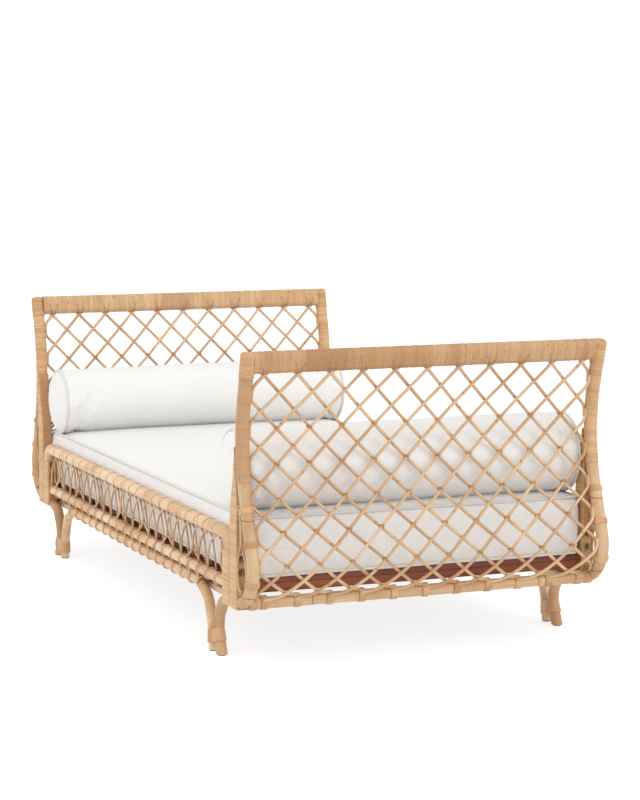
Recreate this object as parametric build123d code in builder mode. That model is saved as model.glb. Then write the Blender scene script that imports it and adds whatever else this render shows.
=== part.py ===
from build123d import *
import math
import os

# A rattan daybed: two S-curved end frames with a diamond reed lattice, two woven side frames on
# wishbone legs, a slatted base, a mattress and two bolsters. Millimetres, +Z up, the origin on the
# floor under the bed's centre, +X along the bed to the foot end, -Y to the left side.
# The end frames are alike, turned half round, and the side frames are mirror images.

os.makedirs("parts", exist_ok=True)

GAP = 0.5  # clearance between neighbouring pieces

# End frame: the outer pole's centre line in the XZ plane, from its top down to the post's foot
POLE_Y = 522.0
POLE_R = 17.5
WRAP_R = 18.6
WRAP_BOTTOM_Z = 505.0
PROFILE = [(1043, 850), (975, 585.6), (1095.5, 246.2), (1022, 189.2), (990, 180)]
PROFILE_BENDS = [480, 100, 40]

# End frame: top rail, two poles one above the other, bound together and leaning with the end
TOP_X = 1034.5
TOP_Z = 829.0
TOP_LEAN = 14.0
TOP_POLE_R = 14.0
TOP_STEP = 14.25
TOP_HEIGHT = 62.0
TOP_DEPTH = 35.0
CORNER_DEPTH = 38.0
CORNER_INNER_Y = 502.0
CORNER_OUTER_Y = 542.0

# End frame: bottom rail and lattice
LOW_RAIL_X = 1018.0
LOW_RAIL_Z = 181.0
LOW_RAIL_R = 16.0
REED_R = 4.6
REED_LAYER = 5.2
LATTICE_PITCH = 94.5
LATTICE_ROWS = 6.5
LATTICE_TIES = 11  # reeds of one direction that leave the top rail, one pitch apart
LATTICE_TOP_Z = 797.0
LATTICE_END = (1019, 186.9)

# Corner posts, wrapped timber: one belongs to the end frame and one to the side frame
POST_DEPTH = 35.0
POST_BOTTOM_Z = 160.0
POST_SEAM_X = 934.0
END_POST = [(934.3, 160), (993, 160), (993, 380), (997, 434), (992, 490), (984, 532), (978, 600),
            (976, 600), (964, 520), (941, 434), (934.3, 330)]
SIDE_POST_INNER_X = 876.0
SIDE_POST_TOP_Z = 310.0

# Side frame rails and legs
TOP_SIDE_Z = 351.0
TOP_SIDE_R = 18.5
TOP_SIDE_END_X = 915.0
TOP_SIDE_BEND = 36.0
MID_SIDE_Z = 214.0
MID_SIDE_R = 14.5
LOW_SIDE_Z = 176.0
LOW_SIDE_R = 14.5
LEG_Y = 518.0
LEG_POLE_R = 16.0
LEG_RAIL = [(752, 0), (745, 64), (712, 142), (640, LOW_SIDE_Z)]
LEG_RAIL_BENDS = [160, 60, 90]
LEG_POLE = [(875.5, 164), (832, 154), (796, 106), (789, 62), (818, 0)]
LEG_POLE_BENDS = [34, 60, 60]
GLIDE_HEIGHT = 3.0
GLIDE_R = 12.0
LASHING_Z = (32.0, 66.0)

# Side weave: reeds in two layers between the top and middle side rails
WEAVE_PITCHES = 23
WEAVE_REED_R = 3.2
WEAVE_LAYER = 4.0
WEAVE_TOP_Z = 328.6
WEAVE_FOOT_Z = 229.2
WEAVE_RING_Z = 234.0
WEAVE_RING_X = 838.0

# Base
END_RAIL_X = (955.0, 980.0)
END_RAIL_Z = (200.0, 225.0)
LEDGER_Y = (478.0, 503.0)
LEDGER_Z = (181.0, 225.0)
INNER_POLE_Y = 487.0
INNER_POLE_Z = 166.0
INNER_POLE_R = 13.0
SLAT_COUNT = 14
SLAT_WIDTH = 70.0
SLAT_HEIGHT = 14.0
SLAT_END_X = 948.0
SLAT_LENGTH = 1004.0
SCREW_Y = 490.0
SCREW_R = 2.0
SCREW_HEAD_R = 3.6
SCREW_LENGTH = 38.0

# Bed bolts: two through each pair of corner posts
BOLT_Z = (262.0, 300.0)
BOLT_R = 4.0
BOLT_HEAD_R = 7.5
BOLT_HEAD_HEIGHT = 5.0
WASHER_R = 11.0
WASHER_HEIGHT = 1.5
NUT_ACROSS = 13.0
NUT_HEIGHT = 6.0

# Soft pieces
MATTRESS_LENGTH = 1966.0
MATTRESS_WIDTH = 1000.0
MATTRESS_Z = (240.0, 408.0)
MATTRESS_CORNER_R = 20.0
MATTRESS_EDGE_R = 18.0
BOLSTER_LENGTH = 1004.0
BOLSTERS = [("bolster_foot", 870.0, 113.0), ("bolster_head", -866.0, 107.0)]  # name, X and radius


def finish(piece, label):
    """Labels a finished piece and writes its file."""
    piece.part.label = label
    export_step(piece.part, f"parts/{label}.step")
    print(label, len(piece.part.solids()), round(piece.part.volume))


def finish_both_ends(piece, label):
    """Writes the foot end's piece, and the head end's, which is turned half round."""
    finish(piece, f"foot_{label}")
    with BuildPart() as turned:
        add(piece.part, rotation=(0, 0, 180))
    finish(turned, f"head_{label}")


def finish_both_sides(piece, label):
    """Writes the right side's piece, and the left side's, which is its mirror image."""
    finish(piece, f"right_{label}")
    with BuildPart() as mirrored:
        mirror(piece.part, about=Plane.XZ)
    finish(mirrored, f"left_{label}")


def in_plane_of_y(points, y):
    """Turns (x, z) points into space points at one Y."""
    return [(x, y, z) for x, z in points]


def bent_pole(points, bends, radius):
    """A round pole along straight runs joined by arcs."""
    with BuildPart() as pole:
        with BuildLine() as path:
            if bends:
                FilletPolyline(*points, radius=bends)
            else:
                Polyline(*points)
        with BuildSketch(Plane(origin=path.line @ 0, z_dir=path.line % 0)):
            Circle(radius)
        sweep(path=path.line)
    return pole.part


def end_box(x_range, y_range, z_range, mode=Mode.ADD):
    """A box between two limits on each axis."""
    centre = tuple((low + high) / 2 for low, high in (x_range, y_range, z_range))
    size = [high - low for low, high in (x_range, y_range, z_range)]
    with Locations(centre):
        Box(*size, mode=mode)


def along_x(x, z):
    """A plane across the corner posts, at one bolt's height."""
    return Plane(origin=(x, POLE_Y, z), z_dir=(1, 0, 0))


def bolt_holes():
    """Cuts the right corner's bolt holes through the piece being built."""
    for z in BOLT_Z:
        with BuildSketch(along_x(800, z)) as hole:
            Circle(BOLT_R + 0.5)
        extrude(hole.sketch, amount=300, mode=Mode.SUBTRACT)


# ---------------------------------------------------------------- end frame: outer poles
def profile_pole(radius):
    """The right outer pole's shape at the foot end, with any radius."""
    return bent_pole(in_plane_of_y(PROFILE, POLE_Y), PROFILE_BENDS, radius)


with BuildPart() as outer_pole_right:
    add(profile_pole(POLE_R))
    end_box((993 + GAP, 1200), (400, 600), (0, 900), mode=Mode.INTERSECT)
finish_both_ends(outer_pole_right, "outer_pole_right")

with BuildPart() as outer_pole_left:
    mirror(outer_pole_right.part, about=Plane.XZ)
finish_both_ends(outer_pole_left, "outer_pole_left")

with BuildPart() as pole_bindings:
    add(profile_pole(WRAP_R))
    add(profile_pole(POLE_R + 0.15), mode=Mode.SUBTRACT)
    end_box((900, 1200), (400, 600), (WRAP_BOTTOM_Z, 797), mode=Mode.INTERSECT)
    mirror(about=Plane.XZ)
finish_both_ends(pole_bindings, "pole_bindings")

# ---------------------------------------------------------------- end frame: top rail
lean = math.radians(TOP_LEAN)
stack_up = (math.sin(lean), 0, math.cos(lean))


def rail_section(y):
    """The top rail's section plane at one Y, with its local X up the stack of two poles."""
    return Plane(origin=(TOP_X, y, TOP_Z), x_dir=stack_up, z_dir=(0, 1, 0))


top_half = CORNER_INNER_Y - GAP
with BuildPart() as top_rail_poles:
    with BuildSketch(rail_section(-top_half)):
        with Locations((-TOP_STEP, 0), (TOP_STEP, 0)):
            Circle(TOP_POLE_R)
    extrude(amount=2 * top_half)
finish_both_ends(top_rail_poles, "top_rail_poles")

with BuildPart() as top_rail_binding:
    with BuildSketch(rail_section(-top_half)):
        SlotOverall(TOP_HEIGHT, TOP_DEPTH)
        SlotOverall(TOP_HEIGHT - 4.8, TOP_DEPTH - 6, mode=Mode.SUBTRACT)
    extrude(amount=2 * top_half)
finish_both_ends(top_rail_binding, "top_rail_binding")

with BuildPart() as corner_bindings:
    with BuildSketch(rail_section(CORNER_INNER_Y)):
        SlotOverall(TOP_HEIGHT, CORNER_DEPTH)
    extrude(amount=CORNER_OUTER_Y - CORNER_INNER_Y)
    add(profile_pole(POLE_R + 0.15), mode=Mode.SUBTRACT)
    mirror(about=Plane.XZ)
finish_both_ends(corner_bindings, "corner_bindings")

# ---------------------------------------------------------------- end frame: bottom rail
low_half = POLE_Y - POLE_R - GAP
with BuildPart() as bottom_rail:
    with BuildSketch(Plane(origin=(LOW_RAIL_X, -low_half, LOW_RAIL_Z), z_dir=(0, 1, 0))):
        Circle(LOW_RAIL_R)
    extrude(amount=2 * low_half)
finish_both_ends(bottom_rail, "bottom_rail")

# ---------------------------------------------------------------- end frame: corner posts
with BuildPart() as end_post_right:
    with BuildSketch(Plane.XZ.offset(-(POLE_Y + POST_DEPTH / 2))):
        with BuildLine():
            Polyline(*END_POST, close=True)
        make_face()
    extrude(amount=POST_DEPTH)
    add(profile_pole(WRAP_R + GAP), mode=Mode.SUBTRACT)
    bolt_holes()
finish_both_ends(end_post_right, "end_post_right")

with BuildPart() as end_post_left:
    mirror(end_post_right.part, about=Plane.XZ)
finish_both_ends(end_post_left, "end_post_left")

# ---------------------------------------------------------------- end frame: reed lattice
def offset_outwards(points, distance):
    """Moves each run of a downward (x, z) outline sideways, away from the bed, and joins them again."""
    lines = []
    for (x0, z0), (x1, z1) in zip(points, points[1:]):
        run = math.hypot(x1 - x0, z1 - z0)
        normal = ((z0 - z1) / run, (x1 - x0) / run)
        lines.append((x0 + normal[0] * distance, z0 + normal[1] * distance, x1 - x0, z1 - z0, normal))
    moved = [(lines[0][0], lines[0][1])]
    for (xa, za, dxa, dza, _), (xb, zb, dxb, dzb, _) in zip(lines, lines[1:]):
        along = ((xb - xa) * dzb - (zb - za) * dxb) / (dxa * dzb - dza * dxb)
        moved.append((xa + dxa * along, za + dza * along))
    last = lines[-1]
    moved.append((points[-1][0] + last[4][0] * distance, points[-1][1] + last[4][1] * distance))
    return moved


def stations(points, bends):
    """The distance along the bent outline of its start, the middle of each bend, and its end."""
    found = [0.0]
    walked = 0.0
    last_tangent = 0.0
    for before, corner, after, bend in zip(points, points[1:], points[2:], bends):
        arriving = math.atan2(corner[1] - before[1], corner[0] - before[0])
        leaving = math.atan2(after[1] - corner[1], after[0] - corner[0])
        turn = abs(leaving - arriving)
        tangent = bend * math.tan(turn / 2)
        walked += math.dist(before, corner) - last_tangent - tangent
        found.append(walked + bend * turn / 2)
        walked += bend * turn
        last_tangent = tangent
    found.append(walked + math.dist(points[-2], points[-1]) - last_tangent)
    return found


LATTICE_LINE = PROFILE[:3] + [LATTICE_END]
LATTICE_BENDS = PROFILE_BENDS[:2]
lattice_stations = stations(LATTICE_LINE, LATTICE_BENDS)
top_station = (PROFILE[0][1] - LATTICE_TOP_Z) / math.cos(math.atan2(68, 264.4))
bottom_station = lattice_stations[-1] - 15.5
slope = LATTICE_ROWS * LATTICE_PITCH / (bottom_station - top_station)
print("lattice height along the curve", round(bottom_station - top_station))


def diagonal_reed(layer, towards):
    """One reed down the curved lattice from the top rail to Y = 0 on the bottom rail.

    layer is how far outside the poles' centre surface it lies, and towards is the side, +1 or -1,
    that its top leans to."""
    outline = offset_outwards(LATTICE_LINE, layer)
    points = [
        (x, towards * slope * (bottom_station - station), z)
        for (x, z), station in zip(outline, lattice_stations)
    ]
    stretch = 1 + slope * slope
    bends = [(LATTICE_BENDS[0] - layer) * stretch, (LATTICE_BENDS[1] + layer) * stretch]
    return bent_pole(points, bends, REED_R)


def lattice_layer(layer, towards):
    """All the reeds of one direction, cut off at the posts and rails."""
    reed = diagonal_reed(layer, towards)
    outermost = (LATTICE_TIES - 1) // 2
    count = LATTICE_TIES + int(LATTICE_ROWS)
    places = [(0, towards * (k - outermost - LATTICE_ROWS) * LATTICE_PITCH, 0) for k in range(count)]
    inner_y = POLE_Y - WRAP_R - GAP
    with BuildPart() as reeds:
        with Locations(*places):
            add(reed)
        end_box((900, 1200), (-inner_y, inner_y), (100, LATTICE_TOP_Z - GAP), mode=Mode.INTERSECT)
        with BuildSketch(Plane(origin=(LOW_RAIL_X, -600, LOW_RAIL_Z), z_dir=(0, 1, 0))):
            Circle(LOW_RAIL_R + GAP)
        extrude(amount=1200, mode=Mode.SUBTRACT)
    return reeds


lattice_front = lattice_layer(REED_LAYER, 1)
finish_both_ends(lattice_front, "lattice_front")
lattice_back = lattice_layer(-REED_LAYER, -1)
finish_both_ends(lattice_back, "lattice_back")

# ---------------------------------------------------------------- end frame: twisted side reeds
SIDE_REED_R = 3.0
SIDE_REED_OUTER = [(1004, 440), (1020, 368), (1003, 300), (1001, 246), (1024, 221)]
SIDE_REED_INNER = [(1004, 440), (1000.5, 366), (1030, 300), (1043, 262), (1024, 221)]
with BuildPart() as side_reeds:
    add(bent_pole(in_plane_of_y(SIDE_REED_OUTER, 535), [40, 60, 14], SIDE_REED_R))
    add(bent_pole(in_plane_of_y(SIDE_REED_INNER, 528), [40, 60, 20], SIDE_REED_R))
    mirror(about=Plane.XZ)
finish_both_ends(side_reeds, "side_reeds")

# ---------------------------------------------------------------- side frame: rails and posts
top_side_points = [(-TOP_SIDE_END_X, SIDE_POST_TOP_Z + GAP), (-TOP_SIDE_END_X, TOP_SIDE_Z),
                   (TOP_SIDE_END_X, TOP_SIDE_Z), (TOP_SIDE_END_X, SIDE_POST_TOP_Z + GAP)]
with BuildPart() as top_side_rail:
    add(bent_pole(in_plane_of_y(top_side_points, POLE_Y), [TOP_SIDE_BEND, TOP_SIDE_BEND], TOP_SIDE_R))
finish_both_sides(top_side_rail, "top_side_rail")

mid_half = SIDE_POST_INNER_X - GAP
with BuildPart() as mid_side_rail:
    with BuildSketch(Plane.YZ.offset(-mid_half)):
        with Locations((POLE_Y, MID_SIDE_Z)):
            Circle(MID_SIDE_R)
    extrude(amount=2 * mid_half)
finish_both_sides(mid_side_rail, "mid_side_rail")

with BuildPart() as side_posts:
    end_box((SIDE_POST_INNER_X, POST_SEAM_X - GAP / 2),
            (POLE_Y - POST_DEPTH / 2, POLE_Y + POST_DEPTH / 2), (POST_BOTTOM_Z, SIDE_POST_TOP_Z))
    bolt_holes()
    mirror(about=Plane.YZ)
finish_both_sides(side_posts, "side_posts")

# ---------------------------------------------------------------- side frame: legs
leg_rail_line = LEG_RAIL + [(-x, z) for x, z in reversed(LEG_RAIL)]
leg_rail_bends = LEG_RAIL_BENDS + list(reversed(LEG_RAIL_BENDS))
with BuildPart() as leg_rail:
    add(bent_pole(in_plane_of_y([(753, -10)] + leg_rail_line[1:-1] + [(-753, -10)], LEG_Y),
                  leg_rail_bends, LOW_SIDE_R))
    end_box((-900, 900), (400, 600), (GLIDE_HEIGHT, 300), mode=Mode.INTERSECT)
finish_both_sides(leg_rail, "leg_rail")

leg_pole_line = LEG_POLE[:-1] + [(822, -9)]
with BuildPart() as foot_right_leg_pole:
    add(bent_pole(in_plane_of_y(leg_pole_line, LEG_Y), LEG_POLE_BENDS, LEG_POLE_R))
    end_box((600, SIDE_POST_INNER_X - GAP), (400, 600), (GLIDE_HEIGHT, 300), mode=Mode.INTERSECT)
finish(foot_right_leg_pole, "foot_right_leg_pole")

with BuildPart() as foot_left_leg_pole:
    mirror(foot_right_leg_pole.part, about=Plane.XZ)
finish(foot_left_leg_pole, "foot_left_leg_pole")

with BuildPart() as head_right_leg_pole:
    mirror(foot_right_leg_pole.part, about=Plane.YZ)
finish(head_right_leg_pole, "head_right_leg_pole")

with BuildPart() as head_left_leg_pole:
    mirror(foot_left_leg_pole.part, about=Plane.YZ)
finish(head_left_leg_pole, "head_left_leg_pole")

with BuildPart() as leg_lashings:
    with BuildSketch(Plane.XY.offset(LASHING_Z[0])):
        with Locations((777, LEG_Y)):
            SlotOverall(96, 39)
    with BuildSketch(Plane.XY.offset(LASHING_Z[1])):
        with Locations((768, LEG_Y)):
            SlotOverall(84, 37)
    loft()
    add(bent_pole(in_plane_of_y(leg_pole_line, LEG_Y), LEG_POLE_BENDS, LEG_POLE_R + 0.2), mode=Mode.SUBTRACT)
    add(bent_pole(in_plane_of_y([(753, -10)] + LEG_RAIL[1:] + [(0, LOW_SIDE_Z)], LEG_Y),
                  LEG_RAIL_BENDS, LOW_SIDE_R + 0.2), mode=Mode.SUBTRACT)
    mirror(about=Plane.XZ)
    mirror(about=Plane.YZ)
finish(leg_lashings, "leg_lashings")

with BuildPart() as glides:
    with BuildSketch():
        with Locations((816.6, LEG_Y), (751.5, LEG_Y)):
            Circle(GLIDE_R)
    extrude(amount=GLIDE_HEIGHT)
    mirror(about=Plane.XZ)
    mirror(about=Plane.YZ)
finish(glides, "glides")

# ---------------------------------------------------------------- side frame: weave
weave_pitch = 2 * SIDE_POST_INNER_X / WEAVE_PITCHES


def weave_arch(x, layer):
    """One reed that leaves the middle rail, bends over under the top rail and comes down again."""
    points = [(x - 0.74 * weave_pitch, WEAVE_FOOT_Z), (x - 0.5 * weave_pitch, WEAVE_TOP_Z),
              (x + 0.5 * weave_pitch, WEAVE_TOP_Z), (x + 0.74 * weave_pitch, WEAVE_FOOT_Z)]
    return bent_pole(in_plane_of_y(points, POLE_Y + layer), [30, 30], WEAVE_REED_R)


def weave_ring(x, layer):
    """The closed loop of reed beside a post."""
    corners = [(x - 24, WEAVE_RING_Z), (x + 24, WEAVE_RING_Z), (x + 24, WEAVE_TOP_Z), (x - 24, WEAVE_TOP_Z)]
    with BuildPart() as ring:
        with BuildLine() as path:
            FilletPolyline(*in_plane_of_y(corners, POLE_Y + layer), radius=23.5, close=True)
        with BuildSketch(Plane(origin=path.line @ 0, z_dir=path.line % 0)):
            Circle(WEAVE_REED_R)
        sweep(path=path.line)
    return ring.part


with BuildPart() as side_weave:
    for step in range(1, WEAVE_PITCHES - 1):
        arch_x = -SIDE_POST_INNER_X + (step + 0.5) * weave_pitch
        arch_layer = WEAVE_LAYER if step % 2 else -WEAVE_LAYER
        add(weave_arch(arch_x, arch_layer))
    for ring_x in (-WEAVE_RING_X, WEAVE_RING_X):
        add(weave_ring(ring_x, -WEAVE_LAYER))
finish_both_sides(side_weave, "side_weave")

# ---------------------------------------------------------------- base
with BuildPart() as end_rail:
    end_box(END_RAIL_X, (-504, 504), END_RAIL_Z)
    fillet(end_rail.edges().filter_by(Axis.Y), radius=3)
finish_both_ends(end_rail, "end_rail")

slat_step = 2 * SLAT_END_X / (SLAT_COUNT - 1)
slat_places = [-SLAT_END_X + slat_step * k for k in range(SLAT_COUNT)]
slat_top_z = LEDGER_Z[1] + GAP + SLAT_HEIGHT

with BuildPart() as ledger:
    end_box((-END_RAIL_X[0] + GAP, END_RAIL_X[0] - GAP), LEDGER_Y, LEDGER_Z)
    with BuildSketch(Plane.XY.offset(LEDGER_Z[1])):
        with Locations(*[(x, SCREW_Y) for x in slat_places[1:-1]]):
            Circle(SCREW_R + 0.2)
    extrude(amount=-30, mode=Mode.SUBTRACT)
finish_both_sides(ledger, "ledger")

with BuildPart() as inner_pole:
    with BuildSketch(Plane.YZ.offset(-END_RAIL_X[1])):
        with Locations((INNER_POLE_Y, INNER_POLE_Z)):
            Circle(INNER_POLE_R)
    extrude(amount=2 * END_RAIL_X[1])
finish_both_sides(inner_pole, "inner_side_pole")

with BuildPart() as slats:
    with Locations(*[(x, 0, slat_top_z - SLAT_HEIGHT / 2) for x in slat_places]):
        Box(SLAT_WIDTH, SLAT_LENGTH, SLAT_HEIGHT)
    with Locations(*[(x, side * SCREW_Y, slat_top_z) for x in slat_places[1:-1] for side in (-1, 1)]):
        CounterSinkHole(SCREW_R + 0.2, SCREW_HEAD_R + 0.6, depth=SLAT_HEIGHT, counter_sink_angle=90)
finish(slats, "slats")

with BuildPart() as screw:
    with BuildSketch(Plane.XZ):
        with BuildLine():
            Polyline((0, -0.3), (SCREW_HEAD_R, -0.3), (SCREW_R, -0.3 + SCREW_R - SCREW_HEAD_R),
                     (SCREW_R, -SCREW_LENGTH + 4), (0, -SCREW_LENGTH), close=True)
        make_face()
    revolve(axis=Axis.Z)

with BuildPart() as slat_screws:
    with Locations(*[(x, side * SCREW_Y, slat_top_z) for x in slat_places[1:-1] for side in (-1, 1)]):
        add(screw.part)
finish(slat_screws, "slat_screws")

# ---------------------------------------------------------------- bed bolts
bolt_start_x = SIDE_POST_INNER_X - GAP / 2 - WASHER_HEIGHT
nut_start_x = 993 + GAP / 2 + WASHER_HEIGHT


def at_bolts(draw):
    """Draws one fastener at both bolts of the foot end's right corner, and copies it to every corner."""
    with BuildPart() as group:
        for z in BOLT_Z:
            draw(z)
        mirror(about=Plane.XZ)
        mirror(about=Plane.YZ)
    return group


def draw_bolt(z):
    with BuildSketch(along_x(bolt_start_x - BOLT_HEAD_HEIGHT, z)) as head:
        Circle(BOLT_HEAD_R)
    extrude(head.sketch, amount=BOLT_HEAD_HEIGHT - 0.1)
    with BuildSketch(along_x(bolt_start_x - 1, z)) as shank:
        Circle(BOLT_R)
    extrude(shank.sketch, amount=nut_start_x + NUT_HEIGHT + 3 - bolt_start_x)


def draw_washers(z):
    for x in (bolt_start_x, nut_start_x - WASHER_HEIGHT):
        with BuildSketch(along_x(x, z)) as washer:
            Circle(WASHER_R)
            Circle(BOLT_R + 0.3, mode=Mode.SUBTRACT)
        extrude(washer.sketch, amount=WASHER_HEIGHT)


def draw_nut(z):
    with BuildSketch(along_x(nut_start_x + 0.1, z)) as nut:
        RegularPolygon(NUT_ACROSS / 2, 6, major_radius=False)
        Circle(BOLT_R + 0.1, mode=Mode.SUBTRACT)
    extrude(nut.sketch, amount=NUT_HEIGHT)


bed_bolts = at_bolts(draw_bolt)
finish(bed_bolts, "bed_bolts")
bolt_washers = at_bolts(draw_washers)
finish(bolt_washers, "bolt_washers")
bolt_nuts = at_bolts(draw_nut)
finish(bolt_nuts, "bolt_nuts")

# ---------------------------------------------------------------- soft pieces
with BuildPart() as mattress:
    mattress_x, mattress_y = MATTRESS_LENGTH / 2, MATTRESS_WIDTH / 2
    end_box((-mattress_x, mattress_x), (-mattress_y, mattress_y), MATTRESS_Z)
    fillet(mattress.edges().filter_by(Axis.Z), radius=MATTRESS_CORNER_R)
    fillet(mattress.faces().sort_by(Axis.Z)[-1].edges(), radius=MATTRESS_EDGE_R)
    fillet(mattress.faces().sort_by(Axis.Z)[0].edges(), radius=MATTRESS_EDGE_R)
finish(mattress, "mattress")

for bolster_name, bolster_x, bolster_radius in BOLSTERS:
    bolster_z = MATTRESS_Z[1] + GAP + bolster_radius
    with BuildPart() as bolster:
        with BuildSketch(Plane(origin=(bolster_x, -BOLSTER_LENGTH / 2, bolster_z), z_dir=(0, 1, 0))):
            Circle(bolster_radius)
        extrude(amount=BOLSTER_LENGTH)
        fillet(bolster.edges().filter_by(GeomType.CIRCLE), radius=10)
    finish(bolster, bolster_name)
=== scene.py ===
import math

import bpy
import numpy as np
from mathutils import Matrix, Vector


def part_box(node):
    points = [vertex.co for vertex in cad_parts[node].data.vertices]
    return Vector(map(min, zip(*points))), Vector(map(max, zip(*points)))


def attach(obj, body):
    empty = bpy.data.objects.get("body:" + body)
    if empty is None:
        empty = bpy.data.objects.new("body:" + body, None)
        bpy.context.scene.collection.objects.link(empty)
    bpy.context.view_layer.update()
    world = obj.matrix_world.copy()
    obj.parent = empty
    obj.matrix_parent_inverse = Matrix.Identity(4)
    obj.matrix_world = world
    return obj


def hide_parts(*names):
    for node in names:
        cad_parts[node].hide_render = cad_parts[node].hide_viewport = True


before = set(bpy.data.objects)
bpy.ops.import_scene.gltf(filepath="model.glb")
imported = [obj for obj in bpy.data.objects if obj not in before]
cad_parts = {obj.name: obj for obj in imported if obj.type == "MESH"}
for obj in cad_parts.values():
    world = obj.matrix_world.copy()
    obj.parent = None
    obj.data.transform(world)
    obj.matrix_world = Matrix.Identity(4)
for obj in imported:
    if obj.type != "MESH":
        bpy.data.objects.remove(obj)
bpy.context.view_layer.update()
random = np.random.default_rng(7)

# The same driving sizes as the CAD's, in metres. The foot end is at +X and the left side at -Y.
PROFILE = [(1.043, 0.850), (0.975, 0.5856), (1.0955, 0.2462), (1.022, 0.1892), (0.990, 0.180)]
PROFILE_BENDS = [0.480, 0.100, 0.040]
POLE_Y = 0.522
POLE_R = 0.0175
REED_R = 0.0046
REED_LAYER = 0.0052
LATTICE_PITCH = 0.0945
TOP_LEAN = math.radians(14)
LEG_Y = 0.518
WEAVE_PITCHES = 23

ENDS = {"foot": 1, "head": -1}
SIDES = {"right": 1, "left": -1}


# ---------------------------------------------------------------- paths and outlines
def rounded(points, bends, step=0.004):
    """Points along straight runs joined by arcs."""
    points = [np.array(p, float) for p in points]
    out = [points[0]]
    for before, corner, after, bend in zip(points, points[1:], points[2:], bends):
        back = (before - corner) / np.linalg.norm(before - corner)
        on = (after - corner) / np.linalg.norm(after - corner)
        turn = math.pi - math.acos(float(np.clip(back @ on, -1, 1)))
        if turn < 1e-3:
            out.append(corner)
            continue
        centre = corner + (back + on) / np.linalg.norm(back + on) * bend / math.cos(turn / 2)
        reach = bend * math.tan(turn / 2)
        first = corner + back * reach - centre
        last = corner + on * reach - centre
        for t in np.linspace(0, 1, max(3, int(bend * turn / step) + 2)):
            arm = math.sin((1 - t) * turn) * first + math.sin(t * turn) * last
            out.append(centre + arm / math.sin(turn))
    out.append(points[-1])
    return np.array(out)


def lengths(path):
    """How far along the path each of its points lies."""
    return np.concatenate([[0], np.cumsum(np.linalg.norm(np.diff(path, axis=0), axis=1))])


def resample(path, step):
    """The same line with points an even step apart."""
    walked = lengths(path)
    at = np.linspace(0, walked[-1], max(2, int(round(walked[-1] / step)) + 1))
    return np.stack([np.interp(at, walked, path[:, k]) for k in range(path.shape[1])], axis=1)


def circle(radius, count, squash=1.0):
    """An outline and its outward normals."""
    angle = np.arange(count) * 2 * math.pi / count
    normal = np.stack([np.cos(angle), np.sin(angle)], axis=1)
    return normal * [radius, radius * squash], normal


def rounded_box(width, height, corner, per_corner=5, per_side=4):
    """A rectangle outline with round corners, and its outward normals."""
    points, normals = [], []
    half = np.array([width / 2 - corner, height / 2 - corner])
    for quarter, (sx, sy) in enumerate([(1, 1), (-1, 1), (-1, -1), (1, -1)]):
        for k in range(per_corner):
            angle = (quarter + k / (per_corner - 1)) * math.pi / 2
            normal = np.array([math.cos(angle), math.sin(angle)])
            points.append(half * [sx, sy] + normal * corner)
            normals.append(normal)
        start = points[-1]
        nsx, nsy = [(-1, 1), (-1, -1), (1, -1), (1, 1)][quarter]
        stop = half * [nsx, nsy] + normals[-1] * corner
        for k in range(1, per_side):
            points.append(start + (stop - start) * k / per_side)
            normals.append(normals[-1])
    return np.array(points), np.array(normals)


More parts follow.
